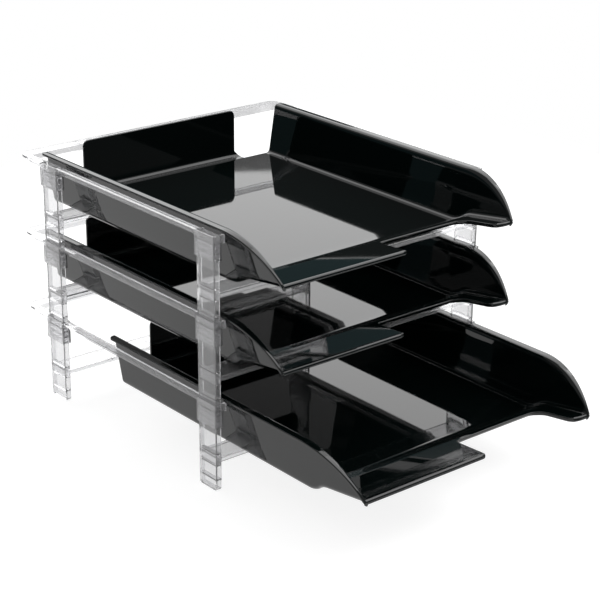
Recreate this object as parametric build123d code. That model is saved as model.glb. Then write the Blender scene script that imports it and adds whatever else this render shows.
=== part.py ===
from build123d import *
from math import asin, cos, radians, sin, sqrt, tan
import os

os.makedirs("parts", exist_ok=True)

# A three-tier desk letter tray. Each tier is a clear stand of seven mouldings with one gloss
# tray sliding in it. X runs across the tray, -Y is the front and Z is up. The origin is on
# the desk, under the middle of the whole stand with its lowest tray pulled out. Millimetres.

tiers = ("bottom", "middle", "top")
tier_pitch = 74.0
slide_out = {"bottom": 102.0, "middle": 0.0, "top": 0.0}

# Stand
stand_width = 298.0
stand_depth = 258.0
fit_gap = 0.15
post_width = 5.5
post_depth = 24.0
post_wall = 1.8
post_edge_chamfer = 0.6
foot_height = 9.2
foot_step = 0.4
foot_chamfer = 1.6
web_thickness = 1.4
web_spacing = 4.4
web_count = 1
lattice_rows = 3
lattice_pitch = 5.2

# Rim frame
socket_height = 21.6
socket_wall = 1.2
socket_recess = 6.0
shelf_thickness = 1.0
shelf_ledge = 1.1
rail_width = 7.0
rail_height = 7.0
rail_wall = 1.8
rear_reach = 39.0
rear_rail_width = 9.0
rim_corner_radius = 12.0
tab_width = 11.5
tab_depth = 3.0

# Crossbars
crossbar_top = 30.7
crossbar_wall = 1.8
crossbar_front_lip = 4.2
crossbar_rear_lip = 3.0
crossbar_rib_count = 5
crossbar_rib_thickness = 1.2
tenon_height = 8.8
tenon_rise = 2.2

# Tray
slide_gap = 0.3
tray_side_gap = 2.5
panel_gap = 3.7
wall_thickness = 2.3
floor_thickness = 2.5
wall_height = 48.5
wall_draft = 9.3
corner_radius = 4.2
rim_overhang = 6.3
rim_thickness = 2.2
rim_rear_inset = 6.5
rim_corner_cut = 3.0
brow_radius = 80.0
lip_reach = 62.0
notch_reach = 20.5
ramp_setback = 71.0
ramp_radius = 24.0
ramp_angle = 37.0
lip_angle = 8.3
edge_band = 2.0
edge_bead = 1.0
notch_left = 11.0
notch_flare = 6.5
notch_corner = 4.0
arm_width = 17.5
arm_taper = 1.0
arm_root_radius = 12.0
arm_tip_radius = 9.0
panel_width = 177.0
panel_drop = 1.0
panel_bend = 4.5
panel_corner = 6.0
panel_root = 5.0
runner_width = 5.0
runner_height = 2.0
runner_inset = 1.8
runner_front_setback = 10.5
runner_chamfer = 1.5

# Places that follow from the sizes above
half_width = stand_width / 2
half_depth = stand_depth / 2
post_inner = half_width - post_width
post_top = tier_pitch - shelf_thickness
rim_top = tier_pitch + socket_recess
socket_bottom = rim_top - socket_height
rim_outer = half_width + fit_gap + socket_wall
rear_outer = half_depth + rear_reach
rear_inner = rear_outer - rear_rail_width

runner_bottom = crossbar_top + slide_gap
underside = runner_bottom + runner_height
floor_top = underside + floor_thickness
tray_top = floor_top + wall_height
draft_slope = tan(radians(wall_draft))
tray_outer = post_inner - tray_side_gap
wall_slant = wall_thickness / cos(radians(wall_draft))
floor_half = tray_outer - rim_overhang - wall_slant - draft_slope * wall_height
panel_inner = rear_inner - panel_gap - wall_thickness
wall_end = panel_inner - panel_bend
lip_edge = -half_depth - lip_reach
notch_edge = -half_depth - notch_reach
ramp_foot = lip_edge + ramp_setback
steepest = radians(ramp_angle)
lip_slope = radians(lip_angle)
crest = ramp_foot - ramp_radius * (2 * sin(steepest) - sin(lip_slope))
crest_top = floor_top + ramp_radius * (1 + cos(lip_slope) - 2 * cos(steepest))
lip_top = crest_top + (crest - lip_edge) * tan(lip_slope)
brow_centre = lip_edge + sqrt(brow_radius ** 2 - (brow_radius - tray_top + lip_top) ** 2)
beyond = 40.0


def along_x(face, x_from, x_to):
    """Extrude a face drawn as (y, z) from one x to another."""
    return Pos(x_from, 0, 0) * extrude(Plane.YZ * face, x_to - x_from)


def along_y(face, y_from, y_to):
    """Extrude a face drawn as (x, z) from one y to another."""
    return Pos(0, y_to, 0) * extrude(Plane.XZ * face, y_to - y_from)


def block(x, y, z):
    """A box from its low and high x, y and z."""
    size = Box(x[1] - x[0], y[1] - y[0], z[1] - z[0], align=(Align.MIN,) * 3)
    return Pos(x[0], y[0], z[0]) * size


def outline(*points):
    """A flat face through the given corners."""
    return make_face(Polyline(*points, close=True))


def round_corner(face, x, y, radius):
    """Round the corner of a face nearest to a point."""
    corner = min(face.vertices(), key=lambda v: (v.X - x) ** 2 + (v.Y - y) ** 2)
    return fillet(corner, radius)


def post():
    """One upright of the left front corner, a channel open towards the tray, with its webs."""
    front = -half_depth
    rear = front + post_depth
    outside = -half_width
    inside = -post_inner
    body = block((outside, inside), (front, rear), (foot_height, post_top))
    upright = [e for e in body.edges().filter_by(Axis.Z) if e.center().X < outside + 0.1]
    body = chamfer(upright, post_edge_chamfer)
    foot = block((outside + foot_step, inside), (front + foot_step, rear - foot_step),
                 (0, foot_height))
    corners = [e for e in foot.edges().filter_by(Axis.X) if e.center().Z < 0.1]
    foot = chamfer(corners, foot_chamfer)
    channel = block((outside + post_wall, inside + 1), (front + post_wall, rear - post_wall),
                    (post_wall, post_top + 1))
    shape = body + foot - channel
    heights = [foot_height + step * web_spacing for step in range(web_count)]
    heights += [tenon_bottom() - fit_gap - web_thickness, tenon_bottom() + tenon_height + fit_gap]
    heights += [socket_bottom + step * lattice_pitch for step in range(lattice_rows)]
    for height in heights:
        shape += block((outside + post_wall, inside), (front + post_wall, rear - post_wall),
                       (height, height + web_thickness))
    return shape


def tenon_bottom():
    """Height of the lower face of a crossbar's tenon."""
    return crossbar_top + tenon_rise - tenon_height


def crossbar():
    """The front crossbar: a shelf with a lip down each long edge, cross ribs and end tenons."""
    front = -half_depth
    rear = front + post_depth
    reach = post_inner - fit_gap
    shelf_low = crossbar_top - crossbar_wall
    section = outline((front, crossbar_top), (rear, crossbar_top),
                      (rear, crossbar_top - crossbar_rear_lip),
                      (rear - crossbar_wall, crossbar_top - crossbar_rear_lip),
                      (rear - crossbar_wall, shelf_low), (front + crossbar_wall, shelf_low),
                      (front + crossbar_wall, crossbar_top - crossbar_front_lip),
                      (front, crossbar_top - crossbar_front_lip))
    shape = along_x(section, -reach, reach)
    spacing = 2 * reach / (crossbar_rib_count + 1)
    for rib in range(crossbar_rib_count):
        x = -reach + (rib + 1) * spacing
        shape += block((x - crossbar_rib_thickness / 2, x + crossbar_rib_thickness / 2),
                       (front + crossbar_wall, rear - crossbar_wall),
                       (crossbar_top - crossbar_rear_lip, shelf_low))
    tenon_tip = half_width - post_wall - fit_gap
    inset = post_wall + fit_gap
    for low, high in ((-tenon_tip, -reach), (reach, tenon_tip)):
        shape += block((low, high), (front + inset, rear - inset),
                       (tenon_bottom(), tenon_bottom() + tenon_height))
    return shape


def socket(side, y_middle):
    """One corner sleeve: the post below ends under its shelf and the next foot stands on it."""
    slack = fit_gap + socket_wall
    half_length = post_depth / 2 + slack
    inner_face = post_inner - slack
    sleeve = block((inner_face, rim_outer), (y_middle - half_length, y_middle + half_length),
                   (socket_bottom, rim_top))
    upright = [e for e in sleeve.edges().filter_by(Axis.Z) if e.center().X > rim_outer - 0.1]
    sleeve = chamfer(upright, post_edge_chamfer)
    cavity_x = (post_inner - fit_gap, half_width + fit_gap)
    cavity_y = (y_middle - post_depth / 2 - fit_gap, y_middle + post_depth / 2 + fit_gap)
    sleeve -= block(cavity_x, cavity_y, (socket_bottom - 1, post_top))
    sleeve -= block(cavity_x, cavity_y, (tier_pitch, rim_top + 1))
    sleeve -= block((cavity_x[0] + shelf_ledge, cavity_x[1] - shelf_ledge),
                    (cavity_y[0] + shelf_ledge, cavity_y[1] - shelf_ledge),
                    (post_top - 1, tier_pitch + 1))
    return sleeve if side > 0 else mirror(sleeve, Plane.YZ)


def rim_frame():
    """The U-shaped rim of a tier: side and rear rails of angle section, with four sockets."""
    front = -half_depth - fit_gap - socket_wall
    inner = rim_outer - rail_width
    deep = Rectangle(2 * rim_outer, rear_outer - front, align=(Align.CENTER, Align.MIN))
    plan = fillet((Pos(0, front) * deep).vertices().group_by(Axis.Y)[-1], rim_corner_radius)
    gap = Rectangle(2 * inner, rear_inner - front + 1, align=(Align.CENTER, Align.MIN))
    mouth = fillet((Pos(0, front - 1) * gap).vertices().group_by(Axis.Y)[-1],
                   rim_corner_radius - rail_width)
    flange = extrude(plan - mouth, rail_wall)
    wider = Rectangle(2 * (inner + rail_wall), rear_inner + rail_wall - front,
                      align=(Align.CENTER, Align.MIN))
    web_plan = fillet((Pos(0, front) * wider).vertices().group_by(Axis.Y)[-1],
                      rim_corner_radius - rail_width + rail_wall)
    web = extrude(web_plan - mouth, rail_height)
    shape = Pos(0, 0, rim_top - rail_wall) * flange + Pos(0, 0, rim_top - rail_height) * web
    for side in (-1, 1):
        for end in (-1, 1):
            middle = end * (half_depth - post_depth / 2)
            blank_x = sorted((side * (post_inner - fit_gap), side * (half_width + fit_gap)))
            blank_y = (middle - post_depth / 2 - fit_gap, middle + post_depth / 2 + fit_gap)
            shape -= block(blank_x, blank_y, (0, rim_top + 1))
            shape += socket(side, middle)
        tab_x = sorted((side * (rim_outer - tab_width), side * (post_inner - fit_gap - socket_wall)))
        shape += block(tab_x, (front, front + tab_depth), (rim_top - rail_height, rim_top))
    return shape


def wall_prism(half, y_from, y_to):
    """The space between two leaning side walls, whose half width is given at the floor."""
    low = floor_top - beyond
    high = tray_top + beyond
    at_low = half + draft_slope * (low - floor_top)
    at_high = half + draft_slope * (high - floor_top)
    return along_y(outline((-at_low, low), (at_low, low), (at_high, high), (-at_high, high)),
                   y_from, y_to)


def floor_prism(depth, y_rear, reach):
    """All that is above the floor line: flat, up an S-shaped ramp, then a lip that rises gently.

    The line lies the given depth under the tray's upper surface, so its two arcs keep their
    centres, and only their radii change.
    """
    low = (ramp_foot, floor_top + ramp_radius)
    high = (crest - ramp_radius * sin(lip_slope), crest_top - ramp_radius * cos(lip_slope))
    outer = ramp_radius + depth
    inner = ramp_radius - depth

    def under(angle):
        return (low[0] - outer * sin(angle), low[1] - outer * cos(angle))

    def over(angle):
        return (high[0] + inner * sin(angle), high[1] + inner * cos(angle))

    start = over(lip_slope)
    far = (lip_edge - reach, start[1] + (start[0] - lip_edge + reach) * tan(lip_slope))
    top = tray_top + beyond
    edges = [
        Line((y_rear, floor_top - depth), under(0)),
        ThreePointArc(under(0), under(steepest / 2), under(steepest)),
        ThreePointArc(under(steepest), over((steepest + lip_slope) / 2), start),
        Polyline(start, far, (far[0], top), (y_rear, top), (y_rear, floor_top - depth)),
    ]
    return along_x(make_face(Curve() + edges), -half_width, half_width)


def rounded_tub(half, depth, radius, y_front, y_rear, reach):
    """The tub shape inside or outside the tray's skin, with its long lower edges rounded."""
    tub = wall_prism(half, y_front, y_rear) & floor_prism(depth, y_rear + 1, reach)

    def runs_along_wall(edge):
        box = edge.bounding_box()
        low = box.max.Z < crest_top + floor_thickness + reach
        return abs(edge.center().X) > floor_half / 2 and box.size.Y > 1 and low

    return fillet(tub.edges().filter_by(runs_along_wall), radius)


def brow(thickness=None):
    """The rim line seen from the side: level, then a quarter-round brow down to the lip.

    Without a thickness it is all that is above the line, else a band under it.
    """
    angle = asin((brow_centre - lip_edge) / brow_radius)
    centre = (brow_centre, tray_top - brow_radius)

    def on_arc(radius, part):
        turn = angle * part
        return (centre[0] - radius * sin(turn), centre[1] + radius * cos(turn))

    tip = on_arc(brow_radius, 1)
    rear = wall_end - rim_rear_inset
    if thickness is None:
        far = (panel_inner + beyond, tray_top)
        edges = [
            Line(far, (brow_centre, tray_top)),
            ThreePointArc((brow_centre, tray_top), on_arc(brow_radius, 0.5), tip),
            Polyline(tip, (tip[0] - beyond, tip[1]), (tip[0] - beyond, tray_top + 2 * beyond),
                     (far[0], tray_top + 2 * beyond), far),
        ]
    else:
        inner = brow_radius - thickness
        edges = [
            Line((rear, tray_top), (brow_centre, tray_top)),
            ThreePointArc((brow_centre, tray_top), on_arc(brow_radius, 0.5), tip),
            Line(tip, on_arc(inner, 1)),
            ThreePointArc(on_arc(inner, 1), on_arc(inner, 0.5),
                          (brow_centre, tray_top - thickness)),
            Line((brow_centre, tray_top - thickness), (rear, tray_top - thickness)),
            Line((rear, tray_top - thickness), (rear, tray_top)),
        ]
    return along_x(make_face(Curve() + edges), -half_width, half_width)


def rim_flange(hollow):
    """The outward rim, as wide as its overhang along the walls and running out at the tips."""
    tip_half = floor_half + draft_slope * (lip_top - floor_top) + wall_slant
    step = tray_outer - tip_half
    run = brow_centre - lip_edge
    bow = (run ** 2 + step ** 2) / (2 * step)
    middle = asin(run / bow) / 2
    bulge = (tray_outer - bow * (1 - cos(middle)), brow_centre - bow * sin(middle))
    rear = wall_end - rim_rear_inset
    edges = [
        Line((tray_outer, rear), (tray_outer, brow_centre)),
        ThreePointArc((tray_outer, brow_centre), bulge, (tip_half, lip_edge)),
        Polyline((tip_half, lip_edge), (0, lip_edge), (0, rear), (tray_outer, rear)),
    ]
    half = make_face(Curve() + edges)
    outer_corner = half.vertices().sort_by_distance((tray_outer, rear))[0]
    plan = extrude(chamfer(outer_corner, rim_corner_cut), tray_top + beyond)
    plan += mirror(plan, Plane.YZ)
    return (brow(rim_thickness) & plan) - hollow


def front_plan():
    """The tray seen from above: a lip on the left, a notch beside it and an arm on the right."""
    arm = floor_half - arm_width + wall_slant
    lip_end = notch_left - notch_flare
    far = half_width
    plan = outline((-far, panel_inner + beyond), (-far, lip_edge), (lip_end, lip_edge),
                   (notch_left, notch_edge), (arm, notch_edge), (arm + arm_taper, lip_edge),
                   (far, lip_edge), (far, panel_inner + beyond))
    plan = round_corner(plan, lip_end, lip_edge, notch_corner)
    plan = round_corner(plan, notch_left, notch_edge, notch_corner)
    plan = round_corner(plan, arm, notch_edge, arm_root_radius)
    return round_corner(plan, arm + arm_taper, lip_edge, arm_tip_radius)


def back_panel():
    """The upright panel: the floor turned up in one bend, between two open corners."""
    bend = (wall_end, floor_top + panel_bend)
    outer = panel_bend + wall_thickness
    top = tray_top - panel_drop
    middle = sin(radians(45))
    edges = [
        Line((wall_end - 5, floor_top), (wall_end, floor_top)),
        ThreePointArc((wall_end, floor_top), (bend[0] + panel_bend * middle,
                      bend[1] - panel_bend * middle), (panel_inner, bend[1])),
        Line((panel_inner, bend[1]), (panel_inner, top)),
        Line((panel_inner, top), (panel_inner + wall_thickness, top)),
        Line((panel_inner + wall_thickness, top), (panel_inner + wall_thickness, bend[1])),
        ThreePointArc((panel_inner + wall_thickness, bend[1]), (bend[0] + outer * middle,
                      bend[1] - outer * middle), (wall_end, floor_top - wall_thickness)),
        Line((wall_end, floor_top - wall_thickness), (wall_end - 5, floor_top - wall_thickness)),
        Line((wall_end - 5, floor_top - wall_thickness), (wall_end - 5, floor_top)),
    ]
    half = panel_width / 2
    strip = along_x(make_face(Curve() + edges), -half - panel_root, half + panel_root)
    low = floor_top - beyond
    root = floor_top + panel_root
    view = outline((-half, top), (half, top), (half, root), (half + panel_root, floor_top),
                   (half + panel_root, low), (-half - panel_root, low),
                   (-half - panel_root, floor_top), (-half, root))
    for side in (-1, 1):
        view = round_corner(view, side * half, top, panel_corner)
    return strip & along_y(view, wall_end - beyond, panel_inner + beyond)


def lip_line(depth):
    """The lip's straight part seen from the side, at a depth under its upper surface."""
    lift = depth / cos(lip_slope)
    return [(y, lip_top - (y - lip_edge) * tan(lip_slope) - lift)
            for y in (lip_edge, notch_edge + edge_band)]


def lip_bead(plan):
    """The bead that stiffens the lip's free edges from below, along the notch and the arm too."""
    inner_plan = offset(plan, -edge_band, kind=Kind.INTERSECTION)
    upper = lip_line(floor_thickness / 2)
    lower = lip_line(floor_thickness + edge_bead)
    slab = along_x(outline(*lower, *reversed(upper)), -half_width, half_width)
    between_walls = wall_prism(floor_half, lip_edge, notch_edge + edge_band)
    return extrude(plan - inner_plan, tray_top) & slab & between_walls


def letter_tray():
    """One tray, moulded in one piece, in its closed place in the lowest tier."""
    hollow = rounded_tub(floor_half, 0, corner_radius, lip_edge - beyond / 2,
                         wall_end + beyond, beyond)
    skin = rounded_tub(floor_half + wall_slant, floor_thickness, corner_radius + wall_thickness,
                       lip_edge, wall_end, beyond)
    plan = front_plan()
    shape = skin + lip_bead(plan) - hollow - brow()
    shape += rim_flange(hollow)
    shape = shape & extrude(plan, tray_top + beyond)
    shape += back_panel()
    flat_half = floor_half + wall_slant - corner_radius - wall_thickness
    front = -half_depth + runner_front_setback
    rear = wall_end - rim_rear_inset
    for side in (-1, 1):
        x = side * (flat_half - runner_inset - runner_width / 2)
        runner = block((x - runner_width / 2, x + runner_width / 2), (front, rear),
                       (runner_bottom, underside + floor_thickness / 2))
        nose = [e for e in runner.edges().filter_by(Axis.X) if e.center().Z < underside]
        shape += chamfer(nose, runner_chamfer)
    return shape


def name_solid(shape, label):
    """Check that a piece is one closed solid and write it to its own file."""
    solids = shape.solids()
    assert len(solids) == 1, (label, len(solids))
    assert solids[0].is_valid, label
    export_step(solids[0], f"parts/{label}.step")
    print(f"{label}: {solids[0].volume / 1000:.1f} cm3")


front_left_post = post()
posts = {
    "front_left": front_left_post,
    "front_right": mirror(front_left_post, Plane.YZ),
    "rear_left": mirror(front_left_post, Plane.XZ),
    "rear_right": mirror(mirror(front_left_post, Plane.XZ), Plane.YZ),
}
front_crossbar = crossbar()
crossbars = {
    "front": front_crossbar,
    "rear": Pos(0, stand_depth - post_depth, 0) * front_crossbar,
}
frame = rim_frame()
tray = letter_tray()

centre_y = (rear_outer + lip_edge - slide_out["bottom"]) / 2

for level, tier in enumerate(tiers):
    lift = Pos(0, -centre_y, level * tier_pitch)
    name_solid(lift * frame, f"rim_frame_{tier}")
    for place, shape in posts.items():
        name_solid(lift * shape, f"post_{place}_{tier}")
    for place, shape in crossbars.items():
        name_solid(lift * shape, f"crossbar_{place}_{tier}")
    name_solid(lift * Pos(0, -slide_out[tier], 0) * tray, f"letter_tray_{tier}")

print(f"tray {2 * tray_outer:.1f} wide, {panel_inner + wall_thickness - lip_edge:.1f} deep,"
      f" floor {2 * floor_half:.1f} wide; {len(os.listdir('parts'))} files")
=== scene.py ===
# %% [markdown]
# # A tiered letter tray
#
# Three clear stands are stacked on top of each other, and each one carries a gloss black tray
# that slides out towards the front. The construction is a fixed frame that we load and never
# change. This lesson gives it its looks: a camera, two moulded plastics, three trays with the
# fine edges of a real moulding, and a white studio.

import math
from types import SimpleNamespace

import bpy
import numpy as np
from mathutils import Matrix, Vector


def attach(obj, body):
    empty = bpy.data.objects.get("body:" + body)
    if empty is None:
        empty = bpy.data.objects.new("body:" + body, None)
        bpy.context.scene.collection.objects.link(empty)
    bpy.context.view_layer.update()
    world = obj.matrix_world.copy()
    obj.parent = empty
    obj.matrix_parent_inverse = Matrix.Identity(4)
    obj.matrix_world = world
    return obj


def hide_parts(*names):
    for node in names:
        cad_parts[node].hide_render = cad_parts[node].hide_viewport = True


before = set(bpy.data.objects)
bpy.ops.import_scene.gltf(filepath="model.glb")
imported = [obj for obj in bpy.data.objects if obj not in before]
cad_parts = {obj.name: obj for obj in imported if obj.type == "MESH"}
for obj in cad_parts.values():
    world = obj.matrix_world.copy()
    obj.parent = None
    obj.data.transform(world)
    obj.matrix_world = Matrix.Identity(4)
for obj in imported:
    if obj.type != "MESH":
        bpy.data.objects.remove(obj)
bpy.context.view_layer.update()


# %% [markdown]
# ## Camera
#
# A product photograph is taken from a few steps away with a long lens, which keeps the posts
# nearly parallel. We place the camera by the direction it looks in, so the angles can be read
# and changed. Azimuth 0 looks along +Y, and the camera here stands to the left of the front. The
# small shift moves the picture's centre without turning the camera.

# %% Place the camera
camera_place = Vector((-0.9444, -1.1352, 0.6961))
camera_azimuth = math.radians(-39.43)
camera_elevation = math.radians(21.93)
camera_roll = math.radians(0.36)


def looking(azimuth, elevation, roll):
    """The rotation of a camera whose view runs down its own -Z, from three angles."""
    right = Vector((math.cos(azimuth), math.sin(azimuth), 0))
    back = Vector((math.sin(azimuth) * math.cos(elevation),
                   -math.cos(azimuth) * math.cos(elevation), math.sin(elevation)))
    up = back.cross(right)
    side = math.cos(roll) * right + math.sin(roll) * up
    top = math.cos(roll) * up - math.sin(roll) * right
    return Matrix((side, top, back)).transposed().to_4x4()


camera_data = bpy.data.cameras.new("camera")
camera_data.lens = 106.2
camera_data.sensor_width = 36
camera_data.shift_x, camera_data.shift_y = 0.0101, 0.0267
camera = bpy.data.objects.new("camera", camera_data)
view_turn = looking(camera_azimuth, camera_elevation, camera_roll)
camera.matrix_world = Matrix.Translation(camera_place) @ view_turn
bpy.context.scene.collection.objects.link(camera)
bpy.context.scene.camera = camera
print("camera", round(camera_place.length, 2), "m away, lens", round(camera_data.lens, 1), "mm")

# %% [markdown]
# ## Two node helpers
#
# Every material below is a small graph of shader nodes. One helper adds a node, sets its sockets
# and links what feeds it, so each material reads as a short list of steps: a value that is a
# socket is linked, and any other value is set. The other helper does the same for a sum.

# %% Node helpers


def feed(tree, socket, value):
    """Link a socket to another one, or set it to a plain value."""
    if isinstance(value, bpy.types.NodeSocket):
        tree.links.new(value, socket)
    else:
        socket.default_value = value


def add_node(tree, kind, settings=None, **inputs):
    """Add one shader node. Names in inputs are its sockets, with underscores for spaces."""
    node = tree.nodes.new("ShaderNode" + kind)
    for name, value in (settings or {}).items():
        setattr(node, name, value)
    for name, value in inputs.items():
        feed(tree, node.inputs[name.replace("_", " ")], value)
    return node


def work_out(tree, operation, first, second):
    """One sum in a node tree, held between 0 and 1 for a difference."""
    node = add_node(tree, "Math", {"operation": operation, "use_clamp": operation == "SUBTRACT"})
    feed(tree, node.inputs[0], first)
    feed(tree, node.inputs[1], second)
    return node.outputs[0]


def new_material(name):
    """An empty node material with its output, ready for a shader."""
    material = bpy.data.materials.new(name)
    material.use_nodes = True
    tree = material.node_tree
    tree.nodes.clear()
    return material, tree, tree.nodes.new("ShaderNodeOutputMaterial")


print("node helpers are ready")

# %% [markdown]
# ## Black gloss plastic
#
# The trays are injection moulded in black polystyrene from a polished mould. The colour is almost
# nothing: what we see is the room mirrored in the surface. So the care goes into the surface
# itself, a very slight waviness from shrinkage over the ribs, and a roughness that changes a
# little where hands have rubbed it.

# %% Black gloss plastic


def black_gloss():
    """Mirror-like black plastic with slow waviness and a few rubbed places."""
    material, tree, output = new_material("black_gloss_plastic")
    place = add_node(tree, "TexCoord").outputs["Object"]
    slow = add_node(tree, "TexNoise", Vector=place, Scale=9.0, Detail=1.0)
    rubbed = add_node(tree, "TexNoise", Vector=place, Scale=34.0, Detail=4.0, Roughness=0.6)
    roughness = add_node(tree, "MapRange", Value=rubbed.outputs["Fac"], From_Min=0.35,
                         From_Max=0.8, To_Min=0.02, To_Max=0.05)
    wave = add_node(tree, "Bump", Strength=0.05, Distance=0.002, Height=slow.outputs["Fac"])
    shader = add_node(tree, "BsdfPrincipled", Base_Color=(0.0014, 0.0030, 0.0029, 1), IOR=1.55,
                      Roughness=roughness.outputs["Result"], Normal=wave.outputs["Normal"])
    tree.links.new(shader.outputs["BSDF"], output.inputs["Surface"])
    return material


black = black_gloss()
print("made", black.name)

# %% [markdown]
# ## Clear plastic
#
# The stands are clear polystyrene, a dense plastic with a higher index than glass, so its edges
# collect dark lines. It is slightly gray through the thick parts, and a little of the light
# scatters in it, which is why the posts stay pale in front of the black trays.

# %% Clear plastic


def clear_polystyrene():
    """Clear moulded plastic with faint flow waves."""
    material, tree, output = new_material("clear_polystyrene")
    place = add_node(tree, "TexCoord").outputs["Object"]
    flow = add_node(tree, "TexNoise", Vector=place, Scale=40.0, Detail=1.0)
    wave = add_node(tree, "Bump", Strength=0.06, Distance=0.001, Height=flow.outputs["Fac"])
    shader = add_node(tree, "BsdfPrincipled", Base_Color=(0.92, 0.92, 0.93, 1), IOR=1.57,
                      Roughness=0.03, Transmission_Weight=0.87, Normal=wave.outputs["Normal"])
    tree.links.new(shader.outputs["BSDF"], output.inputs["Surface"])
    return material


clear = clear_polystyrene()
print("made", clear.name)

# %% [markdown]
# ## Painting the frame
#
# The posts, rim frames and crossbars are the construction's own solids. We only hand each one a
# material. It is set on the object and not in its mesh, because the mesh belongs to the frame.

# %% Give the nodes their materials


def paint(node, material):
    """Put one material in every slot of a node, on the object and not in its mesh."""
    for slot in node.material_slots:
        slot.link = "OBJECT"
        slot.material = material


for name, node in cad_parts.items():
    paint(node, black if name.startswith("letter_tray") else clear)
print("painted", len(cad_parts), "nodes")

# %% [markdown]
# ## The tray's main sizes
#
# A letter tray is one moulding of even wall. Its sizes are kept together under one name, in
# millimetres, because a maker's drawing is easier to read that way, and the mesh is scaled at the
# end. The finer sizes join them in the cells that need them. Here y runs along the tray, from the
# front edge of the lip at -191 to the face of the rear panel at 153.

# %% The tray's main sizes
size = SimpleNamespace(floor_height=35.5, floor_half=124.46, draft=math.radians(9.3),
                       front=-191.0, wall_end=144.0, panel_face=153.0,
                       floor_wall=2.5, side_wall=2.3)
lean = math.tan(size.draft)
wall_out = size.side_wall / math.cos(size.draft)
turn = math.pi / 2 - size.draft
print("the walls lean out by", round(math.degrees(size.draft), 1), "degrees")

# %% [markdown]
# ## The floor line
#
# Seen from the side, the floor runs flat, climbs a short S-shaped ramp and goes on as a lip that
# rises gently to the front. The ramp is two arcs of one radius that meet at the steepest angle.
# We could draw it as a curve, but a height for each place along the tray is easier to use: the
# floor, the walls and the underside can all ask for it.

# %% Floor line
size.ramp_foot, size.ramp_radius = -120.0, 24.0
size.ramp_angle, size.lip_angle = math.radians(37.0), math.radians(8.3)
crest = size.ramp_foot - size.ramp_radius * (2 * math.sin(size.ramp_angle)
                                             - math.sin(size.lip_angle))
crest_rise = size.ramp_radius * (1 + math.cos(size.lip_angle) - 2 * math.cos(size.ramp_angle))


def floor_line(y):
    """Height and slope angle of the tray's upper surface at y.

    Flat behind the foot of the ramp. Then z = r (1 - cos a) with sin a = (foot - y) / r up to the
    ramp's angle, then the same arc turned over, and then a straight line at the lip's angle.
    """
    r = size.ramp_radius
    forward = np.maximum(size.ramp_foot - y, 0)
    under = np.arcsin(np.clip(forward / r, 0, math.sin(size.ramp_angle)))
    behind = y - crest + r * math.sin(size.lip_angle)
    over = np.arcsin(np.clip(behind / r, math.sin(size.lip_angle), math.sin(size.ramp_angle)))
    low = r * (1 - np.cos(under))
    high = crest_rise + r * (np.cos(over) - math.cos(size.lip_angle))
    on_under = forward < r * math.sin(size.ramp_angle)
    rise = np.where(on_under, low, high) + np.maximum(crest - y, 0) * math.tan(size.lip_angle)
    return size.floor_height + rise, np.where(on_under, under, over)


lip_top = float(floor_line(np.array([size.front]))[0][0])
print("the ramp climbs", round(crest_rise, 1), "mm over", round(size.ramp_foot - crest, 1),
      "mm, and the lip ends at", round(lip_top, 1), "mm")

# %% [markdown]
# ## Where the plastic ends
#
# The front has a notch for the fingers, and behind the floor stands a rear panel that is narrower
# than the tray. All free edges get their rounding at the end. It reaches out a little way, so
# the sheets that we work out first stop short of every edge by that much.

# %% Edges of the notch and the panel
size.edge_round, size.edge_flat = 0.6, 0.25
size.notch, size.notch_left, size.notch_right = -149.5, 11.0, 109.3
size.panel_half, size.panel_top, size.panel_bend = 88.5, 83.0, 4.5
size.panel_root, size.panel_corner = 5.0, 6.0
edge_reach = size.edge_round + size.edge_flat
notch_left, notch_right = size.notch_left - edge_reach, size.notch_right + edge_reach
notch_rear, wall_rear = size.notch + edge_reach, size.wall_end - edge_reach
panel_half, panel_top = size.panel_half - edge_reach, size.panel_top - edge_reach
root_half = panel_half + size.panel_root
arc_foot_x = size.panel_half - size.panel_corner
arc_foot_z = size.panel_top - size.panel_corner
print("the notch is", round(size.notch - size.front, 1), "mm deep and",
      round(size.notch_right - size.notch_left, 1), "mm wide")

# %% [markdown]
# ## Rows and columns
#
# Seen from above, the tray is a grid of rows across and columns along it. The notch and the open
# rear corners are cells that are left out, so lines of the grid have to run along their edges.
# The lines stand closer where the surface bends, and at the front they follow the quarter turn by
# which the lip rolls over.

# %% Rows and columns
size.corner, size.roll, size.rim_end_round = 4.2, 2.6, 4.3


def steps(*stops):
    """Places from one stop to the next: each pair of stops has the number of steps between.

    Stops written as plain numbers are places in millimetres where only the spacing changes.
    """
    parts = [np.linspace(stops[k], stops[k + 2], stops[k + 1], endpoint=False)
             for k in range(0, len(stops) - 2, 2)]
    return np.concatenate(parts + [[stops[-1]]])


floor_edge = size.floor_half - size.corner * math.tan(turn / 2)
floor_x = steps(-floor_edge, 3, -112, 3, -root_half, 4, -panel_half, 6, -arc_foot_x, 11, 3, 8,
                notch_left, 4, 15, 8, arc_foot_x, 6, panel_half, 4, root_half, 8, notch_right,
                5, 116, 3, floor_edge)
roll_turn = np.linspace(0, math.pi / 2, 7)[:-1]
roll_y = size.front + size.roll * (1 - np.cos(roll_turn))
rows_y = np.concatenate([roll_y, steps(
    size.front + size.roll, 5, -184, 16, notch_rear - 3, 4, notch_rear, 6, crest, 18,
    size.ramp_foot, 24, wall_rear - size.rim_end_round, 8, wall_rear)])
bend_turn = np.linspace(0, math.pi / 2, 10)
panel_z = steps(size.floor_height + size.panel_bend, 7, arc_foot_z, 8, panel_top)[1:]
print(len(floor_x), "columns on the floor,", len(rows_y), "rows, and",
      len(bend_turn) + len(panel_z), "more up the panel")

# %% [markdown]
# ## Round corners in a grid
#
# A grid has square corners, and a moulding has none. We could cut the corners with another
# shape, but that leaves thin triangles that a mirror finish shows. Instead the points near a
# corner are moved: in a square around the arc's centre, each one is pulled in by the ratio of
# its larger coordinate to its distance, which turns the square's edge into a circle.

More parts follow.
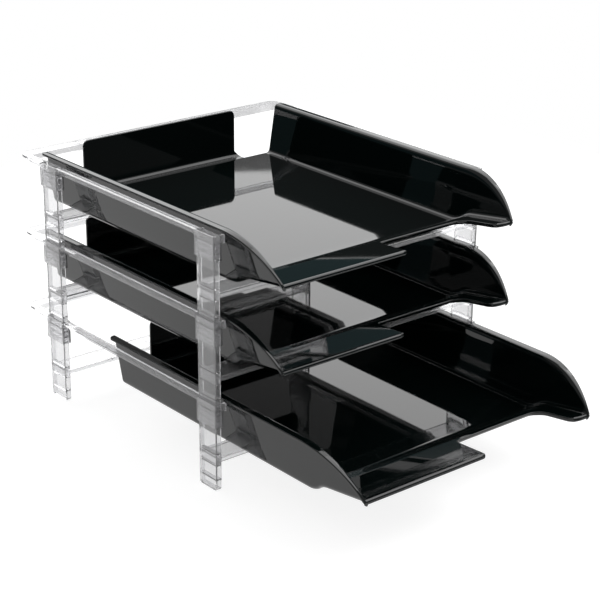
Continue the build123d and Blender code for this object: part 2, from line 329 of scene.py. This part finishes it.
# %% Round a corner
tiny, hair = 1e-9, 0.01
fade_band = 0.6


def round_plan_corner(x, y, corner, towards, radius, outside):
    """Round the corner of a grid. towards points from the corner into the arc's centre.

    With d the offset from the centre in radii, and m its larger part: inside a convex corner the
    point goes to d m / |d|. Around a concave one that pull fades out, from m = 1 over a band.
    """
    centre = (corner[0] + towards[0] * radius, corner[1] + towards[1] * radius)
    dx, dy = (x - centre[0]) / radius, (y - centre[1]) / radius
    larger = np.maximum(np.abs(dx), np.abs(dy))
    pull = larger / np.maximum(np.hypot(dx, dy), tiny)
    near = (dx * towards[0] < 0) & (dy * towards[1] < 0)
    if outside:
        fade = np.clip((larger - 1) / fade_band, 0, 1)
        pull = pull + (1 - pull) * fade
        near &= larger > 1 - hair
    else:
        near &= larger < 1 + hair
    pull = np.where(near, pull, 1)
    return centre[0] + dx * radius * pull, centre[1] + dy * radius * pull


trial_x, trial_y = round_plan_corner(np.ones(1), np.ones(1), (1, 1), (-1, -1), 1, False)
print("a corner at 1, 1 moves to", round(float(trial_x[0]), 3), round(float(trial_y[0]), 3))

# %% [markdown]
# ## The plan
#
# The front of the tray is a lip on the left, a notch for the fingers and a narrow arm on the
# right. The four corners get their radii, and the lip's side leans a little, so the notch opens
# towards the front. Each point of the plan then knows its place on the floor line.

# %% Plan of the floor
size.lip_corner, size.notch_corner = 4.0, 4.0
size.arm_corner, size.arm_root = 9.0, 12.0
size.lip_flare, size.flare_width = 6.5, 60.0
mid_notch = 60.0
across = np.broadcast_to(floor_x, (len(rows_y), len(floor_x)))
along = np.broadcast_to(rows_y[:, None], across.shape)


def floor_plan():
    """Places x and y of the floor's grid, with its four front corners rounded.

    The lip's side leans by its flare times the way to the front, from 0 at the notch's rear edge
    to 1 at the front, and the lean fades out over the flare's width.
    """
    x, y = round_plan_corner(across, along, (notch_left, size.front), (-1, 1),
                             size.lip_corner - edge_reach, False)
    x, y = round_plan_corner(x, y, (notch_right, size.front), (1, 1),
                             size.arm_corner - edge_reach, False)
    x, y = round_plan_corner(x, y, (notch_left, notch_rear), (1, -1),
                             size.notch_corner + edge_reach, True)
    x, y = round_plan_corner(x, y, (notch_right, notch_rear), (-1, -1),
                             size.arm_root + edge_reach, True)
    ahead = np.clip((notch_rear - y) / (notch_rear - size.front), 0, 1)
    beside = np.clip(1 - np.abs(x - notch_left) / size.flare_width, 0, 1)
    return x - size.lip_flare * ahead * beside * (across < mid_notch), y


plan_x, plan_y = floor_plan()
print("the corners move points by up to",
      round(float(np.hypot(plan_x - across, plan_y - along).max()), 1), "mm")

# %% [markdown]
# ## Along the rim
#
# The rim runs level to the front, then falls in a quarter round, the brow, which ends on the lip.
# Its outward flange grows narrower along the same stretch, and its rear ends are rounded. Each is
# one value for every row of the grid, worked out from the circle it lies on.

# %% Rim line
size.rim_height, size.rim_half = 84.0, 141.0
size.brow_radius, size.brow_centre = 80.0, -126.8
row_floor, row_slope = floor_line(rows_y)
roll_run = np.maximum(size.front + size.roll - rows_y, 0)
row_fall = size.roll - np.sqrt(np.clip(size.roll ** 2 - roll_run ** 2, 0, None))
row_floor = row_floor - row_fall


def rim_line(y):
    """Height of the rim, slope of the brow and half width of the flange at every row.

    Height: a circle of the brow's radius about its centre. Half width: a wide circle that takes
    the flange from its full reach down to the wall, and at the rear a small one that rounds it.
    """
    whole = size.brow_centre - size.front
    run = np.clip(size.brow_centre - y, 0, whole)
    height = size.rim_height - size.brow_radius + np.sqrt(size.brow_radius ** 2 - run ** 2)
    tip = size.floor_half + lean * (lip_top - size.floor_height) + wall_out
    narrowing = size.rim_half - tip
    bow = (whole ** 2 + narrowing ** 2) / (2 * narrowing)
    half = size.rim_half - bow + np.sqrt(bow ** 2 - run ** 2)
    end = size.rim_end_round
    behind = np.clip(y - (wall_rear - end), 0, end)
    half = half - edge_reach - end + np.sqrt(end ** 2 - behind ** 2)
    return height, np.arcsin(run / size.brow_radius), half


rim_z, brow_slope, rim_x = rim_line(rows_y)
print("the rim falls from", round(float(rim_z.max()), 1), "to", round(float(rim_z.min()), 1), "mm")

# %% [markdown]
# ## The cross-section, upper side
#
# Across the tray, the surface goes from the floor over a fillet to the wall, which leans out so
# the moulding leaves its mould, then over a round onto the rim's flat flange. In a mirror finish
# these two rounds are what the eye sees first, as the bright and dark lines along the tray.

# %% Upper side of the wall
size.rim_round = 3.7
corner_share, rim_share = 0.62, 0.2
fillet_steps, wall_steps, rim_steps, flange_steps = 10, 6, 5, 4
fillet_turn = np.linspace(0, turn, fillet_steps + 1)[None, 1:]
between = np.linspace(0, 1, wall_steps + 1)[None, 1:-1]


def wall_fillet(height):
    """Radius of the floor's fillet: a share of the wall's height where that is less."""
    return np.minimum(size.corner, corner_share * height)


def upper_wall(y, floor_z, rim_z, rim_x):
    """Upper side of the right wall at every row, from the floor's edge to the flange's edge.

    Fillet: x = edge + r sin a, z = floor + r (1 - cos a). Wall: a straight line. Rim: the same
    arc turned over. Flange: level. Returns an array (row, step, xyz).
    """
    height = rim_z - floor_z
    r = wall_fillet(height)[:, None]
    q = np.minimum(size.rim_round, rim_share * height)[:, None]
    foot_x = (size.floor_half + lean * (floor_z - size.floor_height))[:, None]
    top_x = (size.floor_half + lean * (rim_z - size.floor_height))[:, None]
    edge = foot_x - r * math.tan(turn / 2)
    fillet_x = edge + r * np.sin(fillet_turn)
    fillet_z = floor_z[:, None] + r * (1 - np.cos(fillet_turn))
    over = np.linspace(turn, 0, rim_steps + 1)[None, :]
    round_x = top_x + q * math.tan(turn / 2) - q * np.sin(over)
    round_z = rim_z[:, None] - q * (1 - np.cos(over))
    wall_x = fillet_x[:, -1:] * (1 - between) + round_x[:, :1] * between
    wall_z = fillet_z[:, -1:] * (1 - between) + round_z[:, :1] * between
    out = np.linspace(0, 1, flange_steps + 1)[None, 1:]
    flange_x = round_x[:, -1:] * (1 - out) + rim_x[:, None] * out
    flange_z = np.repeat(rim_z[:, None], flange_steps, 1)
    x = np.concatenate([fillet_x, wall_x, round_x, flange_x], 1)
    z = np.concatenate([fillet_z, wall_z, round_z, flange_z], 1)
    return np.stack([x, np.repeat(y[:, None], x.shape[1], 1), z], 2)


wall_up = upper_wall(rows_y, row_floor, rim_z, rim_x)
print("upper side of the wall:", wall_up.shape[1], "steps in each of", len(wall_up), "rows")

# %% [markdown]
# ## The cross-section, lower side
#
# The underside is a second sheet with the same grid. Solidify could make it from the first, but
# where the rim runs out on the lip its offsets cross. Working both out keeps every wall as thick
# as the drawing says: round the fillet the sheet is moved along the normal, and the flange's
# underside lies one rim's thickness below, square to the brow.

# %% Lower side of the wall
size.rim_wall, narrowest_flange = 2.2, 0.4


def lower_wall(upper, y, slope, rim_z, brow_slope, rim_x):
    """Lower side of the right wall, with the same rows and steps as the upper side.

    Fillet: the upper point moved by the thickness t along the normal, so x + t sin a,
    y + t cos a sin s and z - t cos a cos s for a floor that slopes by s.
    """
    thick = size.floor_wall + (size.side_wall - size.floor_wall) * fillet_turn / turn
    down, s = thick * np.cos(fillet_turn), slope[:, None]
    foot = upper[:, :fillet_steps]
    fillet = np.stack([foot[:, :, 0] + thick * np.sin(fillet_turn),
                       foot[:, :, 1] + down * np.sin(s), foot[:, :, 2] - down * np.cos(s)], 2)
    drop_y = size.rim_wall * np.sin(brow_slope)[:, None]
    drop_z = size.rim_wall * np.cos(brow_slope)[:, None]
    top_x = size.floor_half + lean * (rim_z[:, None] - size.floor_height)
    inner_x = np.minimum(top_x - lean * drop_z + wall_out, rim_x[:, None] - narrowest_flange)
    count = rim_steps + flange_steps + 1
    out = np.linspace(0, 1, count)[None, :]
    flange = np.stack([inner_x + (rim_x[:, None] - inner_x) * out,
                       np.repeat(y[:, None] + drop_y, count, 1),
                       np.repeat(rim_z[:, None] - drop_z, count, 1)], 2)
    way = between[:, :, None]
    wall = fillet[:, -1:] * (1 - way) + flange[:, :1] * way
    return np.concatenate([fillet, wall, flange], 1)


wall_low = lower_wall(wall_up, rows_y, row_slope, rim_z, brow_slope, rim_x)
print("lower side of the wall:", wall_low.shape[1], "steps")

# %% [markdown]
# ## The bead under the free edges
#
# A thin lip would feel sharp and bend under a hand, so such mouldings are thicker along their
# free front edges. To know where, each point needs its distance to the nearest one: the front,
# the two sides of the notch or the notch's rear edge. A point that an edge doesn't concern is
# simply said to be far away.

# %% Distance to the free edges
size.bead, size.bead_band, size.bead_fade = 1.0, 1.6, 1.2
lip_strip, far = 30.0, 99.0


def edge_distance():
    """Distance of each point of the floor's grid to the front edges, and to the notch's rear.

    To the front: y minus the front's y. To the notch's sides, ahead of its rear edge: the side's
    x minus x, or the reverse. To the rear edge, over the notch's width: y minus that edge's y.
    """
    from_front = np.minimum(along - size.front, far)
    by_the_lip = (across > notch_left - lip_strip) & (across < mid_notch)
    beside = np.where(by_the_lip, notch_left - across, across - notch_right)
    beside = np.where(along < notch_rear + hair, np.where(beside < -hair, far, beside), far)
    over_notch = (across > notch_left - hair) & (across < notch_right + hair)
    behind = np.where(over_notch, along - notch_rear, far)
    behind = np.where(behind < -hair, far, behind)
    return np.minimum(np.minimum(from_front, beside), behind), behind


near_edge, behind_notch = edge_distance()
print(int((near_edge < size.bead_band).sum()), "points of the floor lie in the bead")

# %% [markdown]
# ## The floor
#
# The floor's two sheets follow the floor line. Its long edges have to meet the walls, which stand
# wider where the floor is higher, so the outer columns are moved out. The notch's rear edge
# leans back under itself, as the mould's draft makes it, and so mirrors the dark tray below.

# %% Floor sheets
size.undercut, size.undercut_depth, size.undercut_fade = 1.3, 6.0, 8.0
widen_from = 111.0


def floor_sheets():
    """Upper and lower sheet of the floor as arrays (row, column, xyz).

    The lower point is the upper one moved by t sin s in y and t cos s in z, where s is the slope
    and the thickness t is the wall's plus the bead's.
    """
    z, slope = floor_line(plan_y)
    widen = lean * (row_floor - size.floor_height) + size.corner * math.tan(turn / 2)
    widen = widen - wall_fillet(rim_z - row_floor) * math.tan(turn / 2)
    outer = np.clip((np.abs(across) - widen_from) / (floor_edge - widen_from), 0, 1)
    x = plan_x + np.sign(plan_x) * widen[:, None] * outer
    upper = np.stack([x, plan_y, z - row_fall[:, None]], 2)
    beaded = 1 - np.clip((near_edge - size.bead_band + edge_reach) / size.bead_fade, 0, 1)
    thick = size.floor_wall + size.bead * beaded * (along < crest)
    from_side = np.minimum(across - notch_left, notch_right - across)
    undercut = size.undercut * np.clip(1 - behind_notch / size.undercut_depth, 0, 1)
    undercut = undercut * np.clip(from_side / size.undercut_fade, 0, 1)
    on_roll = row_fall[:, None] >= hair
    y_low = plan_y + undercut + np.where(on_roll, 0, thick * np.sin(slope))
    return upper, np.stack([x, y_low, z - thick * np.cos(slope)], 2)


floor_up, floor_low = floor_sheets()
print("the floor is", size.floor_wall, "mm thick, and", size.floor_wall + size.bead,
      "mm in its bead")

# %% [markdown]
# ## The rear panel
#
# Behind the middle of the floor, the same wall bends up and becomes the rear panel. The bend is a
# quarter circle, tighter for the upper sheet than for the lower one. At its root the panel is a
# little wider, as a moulder widens every root to keep it from cracking.

# %% Panel rows
root_slack = 0.1


def panel_rows(offset):
    """Rows of the bend and the panel for the sheet at this offset from the panel's face.

    Bend: y = face - r + R sin a, z = floor + r - R cos a, where r is the bend's radius and R is
    r plus the offset. The height along the path, before the offset, shapes the panel's outline.
    """
    r, wide = size.panel_bend, size.panel_bend + offset
    y = np.concatenate([size.panel_face - r + wide * np.sin(bend_turn),
                        np.full(len(panel_z), size.panel_face + offset)])
    z = np.concatenate([size.floor_height + r - wide * np.cos(bend_turn), panel_z])
    path = np.concatenate([size.floor_height + r * (1 - np.cos(bend_turn)), panel_z])
    height, x = np.meshgrid(path, floor_x, indexing="ij")
    inward = np.clip(height - size.floor_height, 0, size.panel_root)
    outer = (np.abs(x) - panel_half + root_slack) / (size.panel_root + root_slack)
    x = x - np.sign(x) * inward * np.clip(outer, 0, 1)
    for way in (-1, 1):
        x, height = round_plan_corner(x, height, (way * panel_half, panel_top), (-way, -1),
                                      size.panel_corner - edge_reach, False)
    return np.stack([x, np.repeat(y[:, None], len(floor_x), 1),
                     height + (z - path)[:, None]], 2)


panel_up, panel_low = panel_rows(0.0), panel_rows(size.side_wall)
print("the panel has", len(panel_up), "rows and is", round(2 * size.panel_half), "mm wide")

# %% [markdown]
# ## Two whole sheets
#
# The left wall is the right one mirrored, and the panel's rows are filled up at both sides, so
# that floor, walls and panel make one grid. A table of cells says which of them are plastic: the
# notch and the two open rear corners are not.

# %% Join the sheets
side = wall_up.shape[1]


def join(wall, floor, panel):
    """One grid of points: left wall, floor and right wall, with the panel's rows behind."""
    left = wall[:, ::-1] * np.array([-1, 1, 1])
    spare = np.repeat(panel[:, :1], side, 1)
    return np.concatenate([np.concatenate([left, floor, wall], 1),
                           np.concatenate([spare, panel, spare], 1)], 0)


def plastic_cells():
    """True for each cell of the grid that is plastic. The walls' columns count as beyond x."""
    beyond = np.full(side, 200.0)
    columns = np.concatenate([-beyond, floor_x, beyond])
    middle = (columns[1:] + columns[:-1]) / 2
    kept = np.ones((len(rows_y) + len(panel_up) - 1, len(middle)), bool)
    in_notch = (middle > notch_left) & (middle < notch_right)
    kept[:np.searchsorted(rows_y, notch_rear - hair), in_notch] = False
    kept[len(rows_y) - 1:, np.abs(middle) > root_half] = False
    kept[len(rows_y) + len(bend_turn) - 1:, np.abs(middle) > panel_half] = False
    return kept


upper, lower = join(wall_up, floor_up, panel_up), join(wall_low, floor_low, panel_low)
kept = plastic_cells()
print("tray grid", upper.shape[:2], "with", int(kept.sum()), "cells of plastic")

# %% [markdown]
# ## Rounded free edges
#
# A mould's parting line leaves every free edge slightly round, and that thin round shows as a
# light line along the lip. Bevel would do it, but it shrinks to nothing where the cells are
# small. So rings of points are laid around the edge: out along the sheet, over a quarter turn,
# down, and back under it by another quarter turn.

# %% Rings around the free edges
edge_turns = np.radians([0, 30, 60, 90])
longest_mitre, round_share = 1.4, 0.3


def edge_rings(high, low, free):
    """Rings of points that round the free edges, from the upper sheet down to the lower one.

    Each vertex moves outwards, in the sheet, by a flat strip and then a quarter turn of radius
    r: out = flat + r sin t, down = r (1 - cos t). The lower half mirrors it. At a corner the two
    edges' directions are added and made longer, so that both edges keep their distance.
    """
    a, b = free.T
    through = high - low
    thick = np.linalg.norm(through, axis=1, keepdims=True)
    through = through / np.maximum(thick, tiny)
    outward = np.cross(high[b] - high[a], through[a] + through[b])
    outward /= np.maximum(np.linalg.norm(outward, axis=1, keepdims=True), tiny)
    total = np.zeros_like(high)
    np.add.at(total, a, outward)
    np.add.at(total, b, outward)
    length = np.maximum(np.linalg.norm(total, axis=1, keepdims=True), tiny)
    out = total / length * np.minimum(2 / length, longest_mitre)
    r = np.minimum(size.edge_round, round_share * thick)
    reach = [out * (size.edge_flat + r * np.sin(t)) for t in edge_turns]
    inward = [through * r * (1 - np.cos(t)) for t in edge_turns]
    above = [high + away - deep for away, deep in zip(reach, inward)]
    below = [low + away + deep for away, deep in zip(reach, inward)]
    return above + below[::-1]


print("each free edge gets", 2 * len(edge_turns), "rings")

# %% [markdown]
# ## From two sheets to a closed piece
#
# The cells give the faces of the upper sheet, and turned over, of the lower one. An edge that
# belongs to one cell only is a free edge. Between the sheets, the rings are joined there by
# bands of faces. That closes the piece whatever is cut out of it.

# %% Close the sheets


def closed_shell(upper, lower, kept):
    """Vertices and faces of the solid between two grids of the same size.

    A cell's corners are numbered around it. Its point in ring k has the grid point's number plus
    k times the size of the grid. Points that no face uses are dropped at the end.
    """
    rows, columns = upper.shape[:2]
    index = np.arange(rows * columns).reshape(rows, columns)
    cells = [index[:-1, :-1], index[:-1, 1:], index[1:, 1:], index[1:, :-1]]
    top = np.stack([corner[kept] for corner in cells], 1)
    edges = np.concatenate([top[:, [k, (k + 1) % 4]] for k in range(4)])
    ends = np.sort(edges, 1)
    first, counts = np.unique(ends[:, 0] * rows * columns + ends[:, 1],
                              return_index=True, return_counts=True)[1:]
    free = edges[first[counts == 1]]
    high, low = upper.reshape(-1, 3), lower.reshape(-1, 3)
    rings = [high] + edge_rings(high, low, free) + [low]
    level = rows * columns
    faces = [top, top[:, ::-1] + level * (len(rings) - 1)]
    for k in range(len(rings) - 1):
        here, below = free + k * level, free + (k + 1) * level
        faces.append(np.stack([here[:, 1], here[:, 0], below[:, 0], below[:, 1]], 1))
    used, packed = np.unique(np.concatenate(faces), return_inverse=True)
    return np.concatenate(rings)[used], packed.reshape(-1, 4)


shell_points, shell_faces = closed_shell(upper, lower, kept)
print("shell:", len(shell_points), "points,", len(shell_faces), "faces")

# %% [markdown]
# ## Runners
#
# Under the floor, two straight ribs carry the tray on the crossbars, and they are all that
# touches when it slides. Each is a narrow bar with rounded lower edges and ends, a section
# carried along y.

# %% A runner
size.runner_middle, size.runner_from, size.runner_to = 112.7, -118.5, 137.5


def runner(x_middle, y_from, y_to, width=5.0, top=34.0, bottom=31.0):
    """Points and faces of one rib: a row of sections, each a closed ring around the bar.

    The section is a list of places across and down. Towards the ends it is lifted, so the bar's
    nose is rounded, and the two end rings are closed by one face each.
    """
    over = np.array([-1, -1, -0.86, -0.5, 0.5, 0.86, 1, 1]) * width / 2
    down = bottom + np.array([top - bottom, 0.7, 0.2, 0, 0, 0.2, 0.7, top - bottom])
    y = np.array([y_from, y_from + 0.5, y_from + 1.6, y_to - 1.6, y_to - 0.5, y_to])
    lift = np.array([1.4, 0.5, 0.0, 0.0, 0.5, 1.4])
    z = np.minimum(down[None] + lift[:, None], top)
    points = np.stack(np.broadcast_arrays(x_middle + over[None], y[:, None], z), 2)
    ring, rows = len(over), len(y)
    index = np.arange(rows * ring).reshape(rows, ring)
    here, beside = index[:-1], np.roll(index, -1, 1)
    faces = np.stack([here, index[1:], beside[1:], beside[:-1]], 2).reshape(-1, 4)
    return points.reshape(-1, 3), faces, (index[0].tolist(), index[-1, ::-1].tolist())


print("a runner is", size.runner_to - size.runner_from, "mm long")

# %% [markdown]
# ## The three trays
#
# One moulding serves all tiers, so one set of points is moved to each place. Its object stays at
# the origin, with the place in the mesh, as the frame's own nodes do. Edges that are sharper
# than a moulded round are marked sharp, and the rest is shaded smooth.

# %% Make the trays
sharpest_smooth = math.radians(38)
tier_pitch, middle_y = 74.0, 62.5


def tray_piece(name, body, place, material):
    """The finished tray of one tier, with its runners, at its place in the stand."""
    points, face_list = shell_points, shell_faces.tolist()
    for way in (-1, 1):
        bar, bar_faces, ends = runner(way * size.runner_middle, size.runner_from, size.runner_to)
        face_list += (bar_faces + len(points)).tolist()
        face_list += [[corner + len(points) for corner in end] for end in ends]
        points = np.concatenate([points, bar])
    points = (points + np.array(place)) / 1000
    mesh = bpy.data.meshes.new(name)
    mesh.from_pydata(points.tolist(), [], face_list)
    mesh.materials.append(material)
    mesh.shade_smooth()
    mesh.set_sharp_from_angle(angle=sharpest_smooth)
    mesh.update()
    piece = bpy.data.objects.new(name, mesh)
    bpy.context.scene.collection.objects.link(piece)
    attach(piece, body)
    print(name, len(mesh.vertices), "vertices", len(mesh.polygons), "faces")
    return piece


for level, (tier, pulled) in enumerate((("bottom", 102.0), ("middle", 0.0), ("top", 0.0))):
    place = (0, middle_y - pulled, tier_pitch * level)
    piece = tray_piece(f"tray_{tier}_moulding", f"tray_{tier}", place, black)
    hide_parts(f"letter_tray_{tier}")

# %% [markdown]
# ## The studio's room
#
# Black gloss shows only what it mirrors, so the lighting is a matter of large plain surfaces. The
# room is white where the camera looks at it. In a mirror it has a dark teal band near the
# horizon, as a studio has under its panels, and that band is what makes the lips of the trays
# dark while their floors are light. A ray that went through rough plastic counts as mirrored
# too, so it is taken out of the mirror's share.

# %% World
world_light, world_seen_through = 0.6, 0.8
band_colour, band_from, band_to = (0.042, 0.066, 0.07, 1), 0.22, 0.30
ceiling_level = 0.3


def mirrored_room(tree):
    """What a mirror sees, by height above the horizon: the band, a soft change, the ceiling.

    The third part of a direction is the sine of its height.
    """
    direction = add_node(tree, "TexCoord").outputs["Generated"]
    height = add_node(tree, "SeparateXYZ", Vector=direction).outputs["Z"]
    above = add_node(tree, "MapRange", {"interpolation_type": "SMOOTHSTEP"}, Value=height,
                     From_Min=band_from, From_Max=band_to)
    tone = add_node(tree, "ValToRGB", Fac=above.outputs["Result"])
    tone.color_ramp.elements[0].color = band_colour
    tone.color_ramp.elements[1].color = (ceiling_level, ceiling_level, ceiling_level, 1)
    return add_node(tree, "Background", Color=tone.outputs["Color"], Strength=1.0)


def studio_world():
    """White to the camera, a little less through plastic, softer as light."""
    world = bpy.data.worlds.new("studio")
    world.use_nodes = True
    tree = world.node_tree
    tree.nodes.clear()
    ray = add_node(tree, "LightPath").outputs
    behind = work_out(tree, "MULTIPLY", ray["Is Transmission Ray"], world_seen_through)
    seen = work_out(tree, "MAXIMUM", ray["Is Camera Ray"], behind)
    level = add_node(tree, "MapRange", Value=seen, To_Min=world_light, To_Max=1.0)
    plain = add_node(tree, "Background", Color=(1, 1, 1, 1), Strength=level.outputs["Result"])
    only_mirrored = work_out(tree, "SUBTRACT", ray["Is Glossy Ray"], ray["Is Transmission Ray"])
    choice = add_node(tree, "MixShader", Fac=only_mirrored)
    tree.links.new(plain.outputs["Background"], choice.inputs[1])
    tree.links.new(mirrored_room(tree).outputs["Background"], choice.inputs[2])
    output = add_node(tree, "OutputWorld", Surface=choice.outputs["Shader"])
    bpy.context.scene.world = world
    print("world ends in", output.name)


studio_world()

# %% [markdown]
# ## The table
#
# The table is white, and it glows a little where it is looked at, which keeps it white around a
# soft shadow. It is small, so that the trays' walls mirror it only where they face down, and it
# glows less in mirrors, which makes the outer walls dark grey.

# %% Table
table_half, table_tone = 0.85, 0.3
table_glow, table_glow_mirrored, table_seen_through = 0.85, 0.62, 0.92


def table_material():
    """A pale table. Its glow is the largest of the shares for each kind of ray."""
    material, tree, output = new_material("studio_table")
    ray = add_node(tree, "LightPath").outputs
    share = work_out(tree, "MULTIPLY", ray["Is Glossy Ray"], table_glow_mirrored / table_glow)
    for kind, part in (("Is Camera Ray", 1.0), ("Is Transmission Ray", table_seen_through)):
        share = work_out(tree, "MAXIMUM", share, work_out(tree, "MULTIPLY", ray[kind], part))
    shader = add_node(tree, "BsdfPrincipled", Roughness=0.9, Emission_Color=(1, 1, 1, 1),
                      Base_Color=(table_tone, table_tone, table_tone, 1),
                      Emission_Strength=work_out(tree, "MULTIPLY", share, table_glow))
    tree.links.new(shader.outputs["BSDF"], output.inputs["Surface"])
    return material


corners = [(-table_half, -table_half, 0), (table_half, -table_half, 0),
           (table_half, table_half, 0), (-table_half, table_half, 0)]
table_mesh = bpy.data.meshes.new("studio_table")
table_mesh.from_pydata(corners, [], [(0, 1, 2, 3)])
table_mesh.materials.append(table_material())
table = bpy.data.objects.new("studio_table", table_mesh)
bpy.context.scene.collection.objects.link(table)
bpy.context.scene.view_settings.view_transform = "Standard"
print("table", 2 * table_half, "m wide")

# %% [markdown]
# ## The lamps
#
# Two large panels light the tray. The one behind it is the pale shape that lies mirrored in the
# tray floors, and its lower edge draws the line across them. The one overhead fills the stand.
# A lamp's power follows from how bright its surface should look, times pi, times its area.

# %% Lamps


def softbox(name, direction, distance, extent, radiance):
    """A rectangular lamp that faces the object. Its power follows from how bright it looks."""
    data = bpy.data.lights.new(name, "AREA")
    data.shape = "RECTANGLE"
    data.size, data.size_y = extent
    data.energy = radiance * math.pi * extent[0] * extent[1]
    lamp = bpy.data.objects.new(name, data)
    away = Vector(direction).normalized()
    aim = Vector((0, 0, 0.12))
    lamp.location = aim + away * distance
    lamp.rotation_euler = away.to_track_quat("Z", "Y").to_euler()
    bpy.context.scene.collection.objects.link(lamp)
    print(name, "power", round(data.energy, 1), "W")


softbox("rear_panel", direction=(0.50, 0.80, 0.78), distance=2.4, extent=(4.2, 1.95),
        radiance=1.72)
softbox("overhead_panel", direction=(0.65, -0.25, 0.95), distance=2.4, extent=(1.8, 1.8),
        radiance=2.4)
